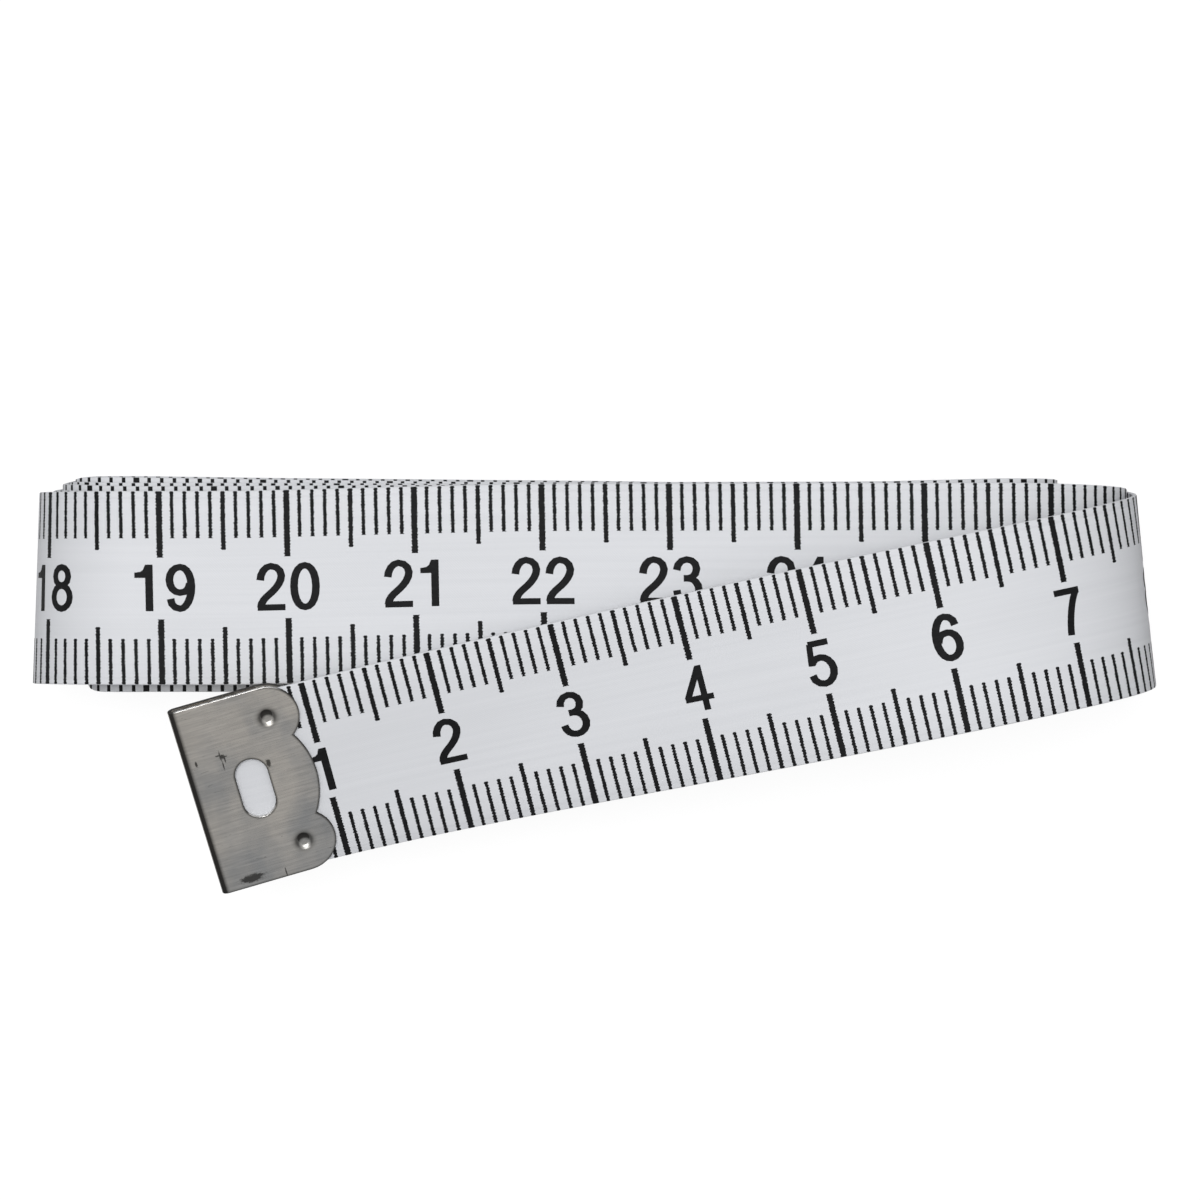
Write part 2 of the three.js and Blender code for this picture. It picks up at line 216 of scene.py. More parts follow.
def hankPath(foot):
    outerReach = tape["bendAspect"] * (runHeight(1) - runHeight(0)) / 2
    outerCentre = (tape["hankLength"] - tape["thickness"]) / 2 - outerReach
    points = foot[None]
    lastBend = tape["layers"] - 2
    for run in range(lastBend):
        side = 1 if run % 2 else -1
        shape = tape["rightBends" if side > 0 else "leftBends"][run // 2]
        centre = side * (outerCentre + shape[0])
        points = np.concatenate([points, layRun(run, points[-1, 0], centre)])
        points = np.concatenate([points, layBend(run, centre, side, shape)])
    coreBend = layBend(lastBend, 0.0, -1)  # the innermost bend lies where the tape's length puts it
    left = tape["length"] - foldLength - lengthsAlong(points)[-1] - lengthsAlong(coreBend)[-1]
    centre = (points[-1, 0] + tape["coreEnd"] - left) / 2
    points = np.concatenate([points, layRun(lastBend, points[-1, 0], centre)])
    points = np.concatenate([points, coreBend + np.array([centre, 0.0, 0.0])])
    return np.concatenate([points, layRun(lastBend + 1, centre, tape["coreEnd"])])


foldPoints = foldPath()
foldLength = lengthsAlong(foldPoints)[-1]
hankPoints = hankPath(foldPoints[-1])


def tapeFrames():
    # at each point of the path: where it is, across the tape, and out of its printed front
    points = np.concatenate([foldPoints, hankPoints[1:]])
    place = lengthsAlong(points)
    place *= tape["length"] / place[-1]
    along = np.gradient(points, place, axis=0)
    along /= np.linalg.norm(along, axis=1)[:, None]
    across = foldAxis - along * np.sum(foldAxis * along, axis=1)[:, None]
    across[place > foldLength] = (0.0, 1.0, 0.0)  # the hank's runs slip without turning
    lean = tape["lean"]
    bulge = np.clip((lean["from"] - points[:, 0]) / lean["over"], 0, 1) ** lean["power"]
    across[:, 0] += np.where((place > foldLength) & (place < lean["upTo"]), lean["most"] * bulge, 0)
    across /= np.linalg.norm(across, axis=1)[:, None]
    twist = smoothStep((place - fold["rollStart"]) / (fold["rollEnd"] - fold["rollStart"]))
    roll = (fold["tipRoll"] * (1 - twist))[:, None]
    across = across * np.cos(roll) + np.cross(along, across) * np.sin(roll)
    return {"place": place, "point": points, "across": across, "front": np.cross(along, across)}


path = tapeFrames()


def bendPlaces():
    # places on the tape where it turns, apart from its almost flat runs
    steps = np.diff(path["point"], axis=0)
    steps /= np.linalg.norm(steps, axis=1)[:, None]
    turns = np.degrees(np.arccos(np.clip(np.sum(steps[1:] * steps[:-1], axis=1), -1, 1)))
    places = path["place"][1:-1]
    return places[(turns > tape["leastTurn"]) | (places < foldLength)]


bendRows = bendPlaces()
print(f"tape path: {path['place'][-1]:.1f} mm, fold {foldLength:.2f} mm, {len(bendRows)} rows in bends")


def atPlace(places, key):
    columns = [np.interp(places, path["place"], path[key][:, axis]) for axis in range(3)]
    return np.stack(columns, axis=1)


def windMesh(mesh):
    # a mesh drawn on the flat tape (along, across, height) goes to its place on the path
    flat = np.zeros(len(mesh.vertices) * 3)
    mesh.vertices.foreach_get("co", flat)
    flat = flat.reshape(-1, 3)
    across = atPlace(flat[:, 0], "across")
    front = atPlace(flat[:, 0], "front")
    across /= np.linalg.norm(across, axis=1)[:, None]
    front /= np.linalg.norm(front, axis=1)[:, None]
    wound = atPlace(flat[:, 0], "point") + across * flat[:, 1:2] + front * flat[:, 2:3]
    mesh.vertices.foreach_set("co", (wound * mm).ravel())
    mesh.update()


def mapFlat(bm, layerName):
    # the flat drawing itself is the pattern's map, in centimetres
    layer = bm.loops.layers.uv.new(layerName)
    for face in bm.faces:
        for loop in face.loops:
            loop[layer].uv = loop.vert.co.xy / 10


def addPiece(name, mesh, material):
    mesh.materials.clear()
    mesh.materials.append(material)
    piece = bpy.data.objects.new(name, mesh)
    bpy.context.scene.collection.objects.link(piece)
    return piece


# Materials
def newMaterial(name):
    material = bpy.data.materials.new(name)
    material.use_nodes = True
    shader = material.node_tree.nodes["Principled BSDF"]
    return material, material.node_tree, shader


def addNode(tree, kind, values=None, **settings):
    node = tree.nodes.new(kind)
    for name, value in settings.items():
        setattr(node, name, value)
    for socket, value in (values or {}).items():
        node.inputs[socket].default_value = value
    return node


def stretchedNoise(tree, mapName, scale, noise):
    # noise on the flat pattern, drawn out by a scale for each direction
    source = addNode(tree, "ShaderNodeUVMap", uv_map=mapName)
    mapping = addNode(tree, "ShaderNodeMapping", {"Scale": scale})
    texture = addNode(tree, "ShaderNodeTexNoise", noise)
    tree.links.new(source.outputs["UV"], mapping.inputs["Vector"])
    tree.links.new(mapping.outputs["Vector"], texture.inputs["Vector"])
    return texture


def ramp(tree, source, stops):
    node = addNode(tree, "ShaderNodeValToRGB")
    elements = node.color_ramp.elements
    while len(elements) < len(stops):
        elements.new(0.5)
    for element, (position, colour) in zip(elements, stops):
        element.position = position
        element.color = (*colour, 1.0)
    tree.links.new(source, node.inputs["Fac"])
    return node


def mixColours(tree, factor, first, second, blend="MIX"):
    node = addNode(tree, "ShaderNodeMix", data_type="RGBA", blend_type=blend)
    for socket, value in ((0, factor), (6, first), (7, second)):
        if isinstance(value, bpy.types.NodeSocket):
            tree.links.new(value, node.inputs[socket])
        else:
            node.inputs[socket].default_value = value
    return node.outputs[2]


def maths(tree, operation, first, second=0.0):
    node = addNode(tree, "ShaderNodeMath", operation=operation)
    for socket, value in ((0, first), (1, second)):
        if isinstance(value, bpy.types.NodeSocket):
            tree.links.new(value, node.inputs[socket])
        else:
            node.inputs[socket].default_value = value
    return node.outputs[0]


def fadeOut(tree, distance, ends, strength):
    return ramp(tree, distance, [(ends[0], (strength,) * 3), (ends[1], (0, 0, 0))]).outputs["Color"]


def addRelief(tree, shader, height, depth):
    bump = addNode(tree, "ShaderNodeBump", depth)
    tree.links.new(height, bump.inputs["Height"])
    tree.links.new(bump.outputs["Normal"], shader.inputs["Normal"])


tapeMap = "tapeMap"
coated = {  # lengths in centimetres, as on the map
    "threadPitch": 0.021,
    "pale": (0.700, 0.711, 0.735),
    "dull": (0.668, 0.680, 0.704),
    "streakStretch": (0.3, 22, 1),
    "streakEnds": (0.32, 0.66),  # noise levels at which the cloth is dull and pale
    "blotchStretch": (0.5, 1.4, 1),
    "blotchShade": 0.97,
    "speck": (0.32, 0.32, 0.32),
    "speckCells": 0.8,  # to a centimetre
    "speckEnds": (0.008, 0.014),
    "hemLine": 0.706,  # from the tape's middle
    "hemEnds": (0.004, 0.011),
    "hemShade": 0.955,
    "roughness": 0.55,
    "shine": 0.25,
    "weaveShare": 0.4,  # how deep the weave is beside the streaks
    "relief": {"Strength": 0.2, "Distance": 0.00002},  # this depth is in metres
}


def coatedClothMaterial():
    material, tree, shader = newMaterial("coatedCloth")
    streakNoise = {"Scale": 1.0, "Detail": 5.0, "Roughness": 0.6}
    streaks = stretchedNoise(tree, tapeMap, coated["streakStretch"], streakNoise)
    dullEnd, paleEnd = coated["streakEnds"]
    colour = ramp(tree, streaks.outputs["Fac"], [(dullEnd, coated["dull"]), (paleEnd, coated["pale"])])
    blotches = stretchedNoise(tree, tapeMap, coated["blotchStretch"], {"Scale": 1.0, "Detail": 2.0})
    shade = ramp(tree, blotches.outputs["Fac"], [(0.3, (coated["blotchShade"],) * 3), (0.7, (1.0, 1.0, 1.0))])
    tinted = mixColours(tree, 1.0, colour.outputs["Color"], shade.outputs["Color"], "MULTIPLY")
    source = addNode(tree, "ShaderNodeUVMap", uv_map=tapeMap)
    dots = addNode(tree, "ShaderNodeTexVoronoi", {"Scale": coated["speckCells"]})
    tree.links.new(source.outputs["UV"], dots.inputs["Vector"])
    speckled = fadeOut(tree, dots.outputs["Distance"], coated["speckEnds"], 1.0)
    flecked = mixColours(tree, speckled, tinted, (*coated["speck"], 1.0))
    split = addNode(tree, "ShaderNodeSeparateXYZ")
    tree.links.new(source.outputs["UV"], split.inputs["Vector"])
    fromMiddle = maths(tree, "ABSOLUTE", split.outputs["Y"])
    fromHem = maths(tree, "ABSOLUTE", maths(tree, "SUBTRACT", fromMiddle, coated["hemLine"]))
    hemStart, hemEnd = coated["hemEnds"]
    hem = ramp(tree, fromHem, [(hemStart, (coated["hemShade"],) * 3), (hemEnd, (1.0, 1.0, 1.0))])
    hemmed = mixColours(tree, 1.0, flecked, hem.outputs["Color"], "MULTIPLY")
    tree.links.new(hemmed, shader.inputs["Base Color"])
    shader.inputs["Roughness"].default_value = coated["roughness"]
    shader.inputs["Specular IOR Level"].default_value = coated["shine"]
    turns = 2 * math.pi / coated["threadPitch"]
    weft = maths(tree, "SINE", maths(tree, "MULTIPLY", split.outputs["X"], turns))
    warp = maths(tree, "SINE", maths(tree, "MULTIPLY", split.outputs["Y"], turns))
    weave = maths(tree, "MULTIPLY", maths(tree, "MULTIPLY", weft, warp), coated["weaveShare"])
    addRelief(tree, shader, maths(tree, "ADD", weave, streaks.outputs["Fac"]), coated["relief"])
    return material


ink = {
    "solid": (0.0058, 0.0060, 0.0066),
    "wearAndHighlight": (0.0115, 0.0115, 0.0125),
    "wearStretch": (12, 40, 1),
    "wearEnds": (0.42, 0.78),
    "roughness": 0.6,
    "shine": 0.12,
}


def scaleInkMaterial():
    material, tree, shader = newMaterial("scaleInk")
    wear = stretchedNoise(tree, tapeMap, ink["wearStretch"], {"Scale": 1.0, "Detail": 3.0})
    solidEnd, wornEnd = ink["wearEnds"]
    colour = ramp(tree, wear.outputs["Fac"], [(solidEnd, ink["solid"]), (wornEnd, ink["wearAndHighlight"])])
    tree.links.new(colour.outputs["Color"], shader.inputs["Base Color"])
    shader.inputs["Roughness"].default_value = ink["roughness"]
    shader.inputs["Specular IOR Level"].default_value = ink["shine"]
    return material


tipMap = "tipMap"
sheetMetal = {  # lengths in centimetres, as on the map
    "bright": (0.77, 0.735, 0.685),
    "dull": (0.54, 0.52, 0.49),
    "grainStretch": (2.6, 55, 1),
    "warm": (1.0, 0.99, 0.965),
    "cool": (0.66, 0.695, 0.735),  # tint of the bluish patches
    "cloudStretch": (2.2, 1.5, 1),
    "cloudEnds": (0.35, 0.62),
    "cloudDrift": 0.16,  # the patches grow towards the lower side
    "roughness": {"To Min": 0.20, "To Max": 0.36},
    "relief": {"Strength": 0.25, "Distance": 0.00001},  # this depth is in metres
    # the dark colour of dirt, used also for the painted shade on the tip
    "grimeAndShade": (0.016, 0.015, 0.014),
    "dirtAndShadeRoughness": 0.3,  # added where the metal is dirty or painted dark as shade
    "foldShadeBand": [  # place from the fold's middle, and how dark the painted shade band along it is there
        (-0.20, 0.0), (-0.08, 0.25), (0.0, 0.45), (0.02, 0.62),
        (0.032, 0.98), (0.066, 0.98), (0.098, 0.28), (0.30, 0.0),
    ],
    "edgeBand": (0.007, 0.024),  # from the cut edges, where their dark rim of painted shade fades
    # how dark that painted shade is at the edge
    "edgeShade": 0.85,
    "dentHalo": (0.062, 0.120),  # from a dent's middle, where its ring of painted shade fades
    # how dark that ring of painted shade is
    "haloShade": 0.85,
    "dentShade": (0.046, 0.074),  # where the painted shade in its upper half fades
    # how dark the painted shade in the upper half is
    "upperShade": 0.97,
    "dentLift": 0.020,  # how far that painted shade lies above the dent's middle
    "dentShine": (0.018, 0.052),  # where the spot in its lower half that is left free of painted shade fades
    "dentDrop": 0.030,  # how far that spot lies below the dent's middle
    "rubStretch": (9, 60, 1),
    "rubEnds": (0.26, 0.32),
    "rubDirt": 0.6,
    "blotStretch": (30, 44, 1),
    "blotStray": 0.8,  # how ragged the stains are
    "stainEnds": (0.72, 1.10),
    "stainDirt": 0.92,
    "stains": [  # place along and across, and reach each way
        (0.335, 0.335, 0.050, 0.045), (0.13, 0.33, 0.022, 0.060), (0.29, -0.730, 0.230, 0.080),
        (0.672, 0.173, 0.045, 0.080),
    ],
    "scratches": [  # the same, for thin marks
        (0.325, 0.345, 0.014, 0.100), (0.345, 0.330, 0.080, 0.016), (0.355, 0.315, 0.013, 0.090),
        (0.310, 0.350, 0.050, 0.014), (0.330, 0.260, 0.012, 0.100), (0.560, -0.765, 0.012, 0.120),
    ],
}


def mapParts(tree):
    # the tip's flat map, along and across
    source = addNode(tree, "ShaderNodeUVMap", uv_map=tipMap)
    split = addNode(tree, "ShaderNodeSeparateXYZ")
    tree.links.new(source.outputs["UV"], split.inputs["Vector"])
    return split.outputs["X"], split.outputs["Y"]


def distanceFrom(tree, first, second, reach=(1.0, 1.0)):
    squares = []
    for value, size in zip((first, second), reach):
        part = maths(tree, "DIVIDE", value, size)
        squares.append(maths(tree, "MULTIPLY", part, part))
    return maths(tree, "SQRT", maths(tree, "ADD", *squares))


def insideEdge(tree, along, across):
    # how far a spot lies from the scalloped edge, the lower side and the slot
    reach = maths(tree, "ABSOLUTE", along)
    aside = maths(tree, "ABSOLUTE", across)
    beside = maths(tree, "SUBTRACT", reach, dentPlace[0] / 10)
    above = maths(tree, "SUBTRACT", aside, dentPlace[1] / 10)
    corner = maths(tree, "SUBTRACT", distanceFrom(tree, beside, above), tip["cornerLobe"] / 10)
    centre = (tip["length"] - tip["middleLobe"] + unroll) / 10
    lobe = distanceFrom(tree, maths(tree, "SUBTRACT", reach, centre), across)
    middle = maths(tree, "SUBTRACT", lobe, tip["middleLobe"] / 10)
    below = maths(tree, "SUBTRACT", -tip["width"] / 20, across)
    body = maths(tree, "MAXIMUM", beside, below)
    outside = maths(tree, "MINIMUM", maths(tree, "MINIMUM", corner, middle), body)
    straight = (tip["slotLength"] - tip["slotWidth"]) / 20
    past = maths(tree, "MAXIMUM", maths(tree, "SUBTRACT", aside, straight), 0.0)
    slotMiddle = (tip["slotSetback"] + unroll) / 10
    fromSlot = distanceFrom(tree, maths(tree, "SUBTRACT", reach, slotMiddle), past)
    outside = maths(tree, "MAXIMUM", outside, maths(tree, "SUBTRACT", tip["slotWidth"] / 20, fromSlot))
    return maths(tree, "MULTIPLY", outside, -1.0)


def tipDirt(tree):
    # how dark and dull each spot is: rubbed grain, stains and scratches as dirt, and painted shade along the
    # fold, the edges and in the dents
    along, across = mapParts(tree)
    blotNoise = {"Scale": 1.0, "Detail": 5.0, "Roughness": 0.75}
    blots = stretchedNoise(tree, tipMap, sheetMetal["blotStretch"], blotNoise)
    stray = maths(tree, "MULTIPLY", blots.outputs["Fac"], sheetMetal["blotStray"])
    rubNoise = {"Scale": 1.0, "Detail": 2.0, "Distortion": 0.8}
    rubs = stretchedNoise(tree, tipMap, sheetMetal["rubStretch"], rubNoise)
    dirtAndShade = fadeOut(tree, rubs.outputs["Fac"], sheetMetal["rubEnds"], sheetMetal["rubDirt"])
    for placeAlong, placeAcross, *reach in sheetMetal["stains"] + sheetMetal["scratches"]:
        aside = maths(tree, "SUBTRACT", along, placeAlong), maths(tree, "SUBTRACT", across, placeAcross)
        ragged = maths(tree, "ADD", distanceFrom(tree, *aside, reach), stray)
        stain = fadeOut(tree, ragged, sheetMetal["stainEnds"], sheetMetal["stainDirt"])
        dirtAndShade = maths(tree, "MAXIMUM", dirtAndShade, stain)
    # painted shade: a dark band along the fold, standing in for the dark that the metal reflects there
    shift = 0.5  # a ramp has no places below nought
    foldShadeStops = [(place + shift, (depth,) * 3) for place, depth in sheetMetal["foldShadeBand"]]
    foldShade = ramp(tree, maths(tree, "ADD", along, shift), foldShadeStops)
    dirtAndShade = maths(tree, "MAXIMUM", dirtAndShade, foldShade.outputs["Color"])
    # painted shade: a dark rim along the scalloped edges, the lower side and the slot
    rim = fadeOut(tree, insideEdge(tree, along, across), sheetMetal["edgeBand"], sheetMetal["edgeShade"])
    dirtAndShade = maths(tree, "MAXIMUM", dirtAndShade, rim)
    # painted shade in each dent: a dark ring and a dark upper half, less a spot below the middle where the
    # metal's own reflection shows
    beside = maths(tree, "SUBTRACT", along, dentPlace[0] / 10)
    for side in (1, -1):
        level = maths(tree, "SUBTRACT", across, side * dentPlace[1] / 10)
        around = distanceFrom(tree, beside, level)
        halo = fadeOut(tree, around, sheetMetal["dentHalo"], sheetMetal["haloShade"])
        lifted = distanceFrom(tree, beside, maths(tree, "SUBTRACT", level, sheetMetal["dentLift"]))
        shade = fadeOut(tree, lifted, sheetMetal["dentShade"], sheetMetal["upperShade"])
        dropped = distanceFrom(tree, beside, maths(tree, "ADD", level, sheetMetal["dentDrop"]))
        shine = fadeOut(tree, dropped, sheetMetal["dentShine"], 1.0)
        dented = maths(tree, "SUBTRACT", maths(tree, "MAXIMUM", halo, shade), shine)
        dirtAndShade = maths(tree, "MAXIMUM", dirtAndShade, dented)
    return dirtAndShade


def finishMetal(tree, shader, colour, rough, dirtAndShade):
    # dirt and painted shade are dark and dull, and lie on bright metal
    grimeAndShade = (*sheetMetal["grimeAndShade"], 1.0)
    tree.links.new(mixColours(tree, dirtAndShade, colour, grimeAndShade), shader.inputs["Base Color"])
    tree.links.new(maths(tree, "SUBTRACT", 1.0, dirtAndShade), shader.inputs["Metallic"])
    duller = maths(tree, "MULTIPLY", dirtAndShade, sheetMetal["dirtAndShadeRoughness"])
    tree.links.new(maths(tree, "ADD", rough, duller), shader.inputs["Roughness"])
    shader.inputs["Specular IOR Level"].default_value = 0.0


def sheetMetalMaterial():
    material, tree, shader = newMaterial("sheetMetal")
    grainNoise = {"Scale": 1.0, "Detail": 6.0, "Roughness": 0.65}
    grain = stretchedNoise(tree, tipMap, sheetMetal["grainStretch"], grainNoise)
    colour = ramp(tree, grain.outputs["Fac"], [(0.3, sheetMetal["dull"]), (0.7, sheetMetal["bright"])])
    clouds = stretchedNoise(tree, tipMap, sheetMetal["cloudStretch"], {"Scale": 1.0, "Detail": 4.0})
    _, across = mapParts(tree)
    drift = maths(tree, "MULTIPLY", across, sheetMetal["cloudDrift"])
    coolEnd, warmEnd = sheetMetal["cloudEnds"]
    patches = maths(tree, "ADD", clouds.outputs["Fac"], drift)
    shade = ramp(tree, patches, [(coolEnd, sheetMetal["cool"]), (warmEnd, sheetMetal["warm"])])
    shaded = mixColours(tree, 1.0, colour.outputs["Color"], shade.outputs["Color"], "MULTIPLY")
    rough = addNode(tree, "ShaderNodeMapRange", sheetMetal["roughness"])
    tree.links.new(grain.outputs["Fac"], rough.inputs["Value"])
    finishMetal(tree, shader, shaded, rough.outputs["Result"], tipDirt(tree))
    addRelief(tree, shader, grain.outputs["Fac"], sheetMetal["relief"])
    return material


cutEdge = {  # lengths in centimetres, as on the map
    "upperFrom": (0.735, 0.79),  # across, where the upper side turns from painted shade to a painted highlight
    "frontFrom": (0.07, 0.10),  # along, where the front leaf turns from painted shade to a painted highlight
    # a painted highlight at the slot's foot: how far below the slot it lies, where it fades, and how bright
    # it is
    "footDrop": 0.09,
    "footReach": (0.10, 0.12),
    "footHighlight": 0.9,
    # bright colour of the edge metal, brighter than the sheet, for the painted highlight
    "wearAndHighlight": (0.85, 0.84, 0.82),
    "scuffStretch": (14, 14, 1),
    "roughness": 0.15,
    "scuffRoughness": 0.2,
    # how dark the painted shade on the cut edges is
    "dirtAndShade": 0.94,
}


def brightFrom(tree, place, ends):
    return ramp(tree, place, [(ends[0], (0, 0, 0)), (ends[1], (1, 1, 1))]).outputs["Color"]


def cutEdgeMaterial():
    # the cut edges are painted dark as shade, with a painted highlight along the front's upper side and at
    # the slot's foot
    material, tree, shader = newMaterial("cutEdge")
    along, across = mapParts(tree)
    # painted highlight along the front leaf's upper side
    upper = brightFrom(tree, across, cutEdge["upperFrom"])
    upper = maths(tree, "MULTIPLY", upper, brightFrom(tree, along, cutEdge["frontFrom"]))
    middle = maths(tree, "SUBTRACT", along, (tip["slotSetback"] + unroll) / 10)
    footPlace = (tip["slotLength"] - tip["slotWidth"]) / 20 + cutEdge["footDrop"]
    foot = distanceFrom(tree, middle, maths(tree, "ADD", across, footPlace))
    slotFootHighlight = fadeOut(tree, foot, cutEdge["footReach"], cutEdge["footHighlight"])
    # where the edge is left bright as a painted highlight; everywhere else it is painted dark as shade
    wearAndHighlight = maths(tree, "MAXIMUM", upper, slotFootHighlight)
    scuffs = stretchedNoise(tree, tipMap, cutEdge["scuffStretch"], {"Scale": 1.0, "Detail": 4.0})
    colour = ramp(tree, scuffs.outputs["Fac"], [(0.3, sheetMetal["dull"]), (0.7, cutEdge["wearAndHighlight"])])
    uneven = maths(tree, "MULTIPLY", scuffs.outputs["Fac"], cutEdge["scuffRoughness"])
    rough = maths(tree, "ADD", uneven, cutEdge["roughness"])
    dirtAndShade = maths(tree, "MULTIPLY", maths(tree, "SUBTRACT", 1.0, wearAndHighlight), cutEdge["dirtAndShade"])
    finishMetal(tree, shader, colour.outputs["Color"], rough, dirtAndShade)
    return material


clothLook = coatedClothMaterial()
inkLook = scaleInkMaterial()
print("cloth and ink ready")


# Cloth: a flat strip with rounded selvedges, wound onto the path
cloth = {
    "columns": 6,
    "selvedge": 0.1,
    "rowApart": 0.05,  # least distance from a row to a piece's end
    "sharpFrom": 50.0,  # degrees
    "stretches": {  # places along the tape where each piece starts and ends
        "tapeFree": (0.0, 80.0),
        "tapeLowerBend": (80.0, 96.5),
        "tapeWound": (96.5, tape["length"]),
    },
}


def weaveStrip(name):
    start, end = cloth["stretches"][name]
    apart = cloth["rowApart"]
    between = [place for place in path["place"] if start + apart < place < end - apart]
    rows = [start, *between, end]
    segments = len(rows) - 1
    bm = bmesh.new()
    bmesh.ops.create_grid(bm, x_segments=segments, y_segments=cloth["columns"], size=0.5)
    for vert in bm.verts:
        row = round((vert.co.x + 0.5) * segments)
        vert.co = (rows[row], vert.co.y * tape["width"], -tape["thickness"] / 2)
    sheet = bmesh.ops.extrude_face_region(bm, geom=bm.faces[:], use_keep_orig=True)
    raised = [item for item in sheet["geom"] if isinstance(item, bmesh.types.BMVert)]
    bmesh.ops.translate(bm, verts=raised, vec=(0, 0, tape["thickness"]))
    bmesh.ops.recalc_face_normals(bm, faces=bm.faces[:])
    edge = tape["width"] / 2 - 1e-4
    longEdges = [
        item for item in bm.edges
        if all(abs(vert.co.y) > edge for vert in item.verts)
        and item.verts[0].co.z == item.verts[1].co.z
    ]
    bmesh.ops.bevel(
        bm, geom=longEdges, offset=cloth["selvedge"], segments=2, profile=0.5,
        affect="EDGES", material=-1,
    )
    mapFlat(bm, tapeMap)
    mesh = bpy.data.meshes.new(name)
    bm.to_mesh(mesh)
    bm.free()
    windMesh(mesh)
    mesh.shade_smooth()
    mesh.set_sharp_from_angle(angle=math.radians(cloth["sharpFrom"]))
    return addPiece(name, mesh, clothLook)


tapePieces = {name: weaveStrip(name) for name in cloth["stretches"]}
print("cloth:", ", ".join(f"{name} {len(piece.data.polygons)} faces" for name, piece in tapePieces.items()))


# Printed scale: ticks along both edges and a number at each centimetre
scale = {
    "millimetre": {"width": 0.28, "length": 3.68},
    "half": {"width": 0.355, "length": 4.6},
    "centimetre": {"width": 0.48, "length": 5.2},
    "lowerShort": 0.1,  # the lower row is printed this much shorter
    "skew": -0.02,  # lean of the print from square, per millimetre across
    "ragged": 0.062,  # how far the weave frays the edge of a stroke
    "raggedShares": (0.1, 1.0),  # least and most of that, from thread to thread
    "raggedStep": 0.12,
    "fineUpTo": {"front": 272.0, "back": 100.0},  # only the tape that shows has frayed ticks
    "strokeStep": 0.34,
    "height": 0.012,  # of the ink over the cloth
    "edgeInset": 0.03,
    "cell": 2.66,  # from one figure to the next
    "numberRoom": 5.0,  # no number reaches further back from its tick
    "figureHeight": 3.65,
    "bold": 1.11,  # how much the ink spreads a figure's strokes
    "strays": {18: 0.25, 19: 0.25},  # numbers that are printed a little past their ticks
    "seed": 11,
}

# Each figure is a few strokes: points with the direction and reach of their handles, and the pen's size
figurePen = (0.55, 0.47)
figures = {
    "0": [(figurePen, [(1.33, 3.46, -0.5, 0), (0.47, 1.825, 0, -1.0), (1.33, 0.19, 0.5, 0),
                       (2.19, 1.825, 0, 1.0), (1.33, 3.46, -0.5, 0)])],
    "1": [((0.54, 0.43), [(1.53, 0, 0, 1.2), (1.53, 3.65, 0, 1.2)]),
          ((0.38, 0.38), [(0.39, 2.82, 0.3, 0), (1.5, 2.82, 0.3, 0)]),
          ((0.38, 0.36), [(0.6, 2.84, 0.35, 0), (1.4, 3.5, 0.06, 0.45)])],
    "2": [(figurePen, [(0.49, 2.36, 0, 0.5), (1.33, 3.46, 0.48, 0), (2.15, 2.70, 0, -0.42),
                       (1.42, 1.45, -0.40, -0.36), (0.50, 0.2, -0.02, -0.6)]),
          ((0.44, 0.44), [(0.25, 0.22, 0.7, 0), (2.43, 0.22, 0.7, 0)])],
    "3": [(figurePen, [(0.48, 2.62, 0, 0.42), (1.28, 3.46, 0.45, 0), (2.04, 2.73, 0, -0.42),
                       (1.36, 1.98, -0.36, 0), (1.02, 1.98, -0.1, 0)]),
          (figurePen, [(1.02, 1.98, 0.1, 0), (1.36, 1.98, 0.46, 0), (2.20, 1.08, 0, -0.5),
                       (1.30, 0.19, -0.48, 0), (0.46, 1.05, 0, 0.48)])],
    "4": [((0.46, 0.43), [(1.76, 0, 0, 1.2), (1.76, 3.65, 0, 1.2)]),
          ((0.42, 0.42), [(0.22, 1.04, 0.7, 0), (2.48, 1.04, 0.7, 0)]),
          ((0.46, 0.46), [(1.70, 3.45, -0.4, -0.8), (0.40, 1.06, -0.4, -0.8)])],
    "5": [((0.44, 0.44), [(0.62, 3.43, 0.5, 0), (2.20, 3.43, 0.5, 0)]),
          ((0.44, 0.44), [(0.74, 3.43, -0.07, -0.5), (0.54, 1.72, -0.07, -0.5)]),
          (figurePen, [(0.60, 1.86, 0.2, 0.26), (1.34, 2.28, 0.44, 0), (2.20, 1.25, 0, -0.55),
                       (1.30, 0.19, -0.48, 0), (0.46, 0.98, 0, 0.44)])],
    "6": [(figurePen, [(2.13, 2.68, 0, 0.44), (1.38, 3.46, -0.46, 0), (0.48, 1.72, 0, -0.95),
                       (1.35, 0.19, 0.48, 0), (2.20, 1.20, 0, 0.56), (1.40, 2.20, -0.46, 0),
                       (0.60, 1.50, -0.12, -0.5)])],
    "7": [((0.44, 0.44), [(0.27, 3.43, 0.7, 0), (2.40, 3.43, 0.7, 0)]),
          ((0.52, 0.46), [(2.16, 3.38, -0.55, -0.62), (1.05, 0, -0.08, -1.0)])],
    "8": [(figurePen, [(1.33, 3.46, -0.40, 0), (0.62, 2.74, 0, -0.41), (1.33, 2.01, 0.40, 0),
                       (2.04, 2.74, 0, 0.41), (1.33, 3.46, -0.40, 0)]),
          (figurePen, [(1.33, 2.01, -0.48, 0), (0.46, 1.10, 0, -0.50), (1.33, 0.19, 0.48, 0),
                       (2.20, 1.10, 0, 0.50), (1.33, 2.01, -0.48, 0)])],
}
figures["9"] = [
    (pen, [(scale["cell"] - x, scale["figureHeight"] - y, -dx, -dy) for x, y, dx, dy in knots])
    for pen, knots in figures["6"]
]


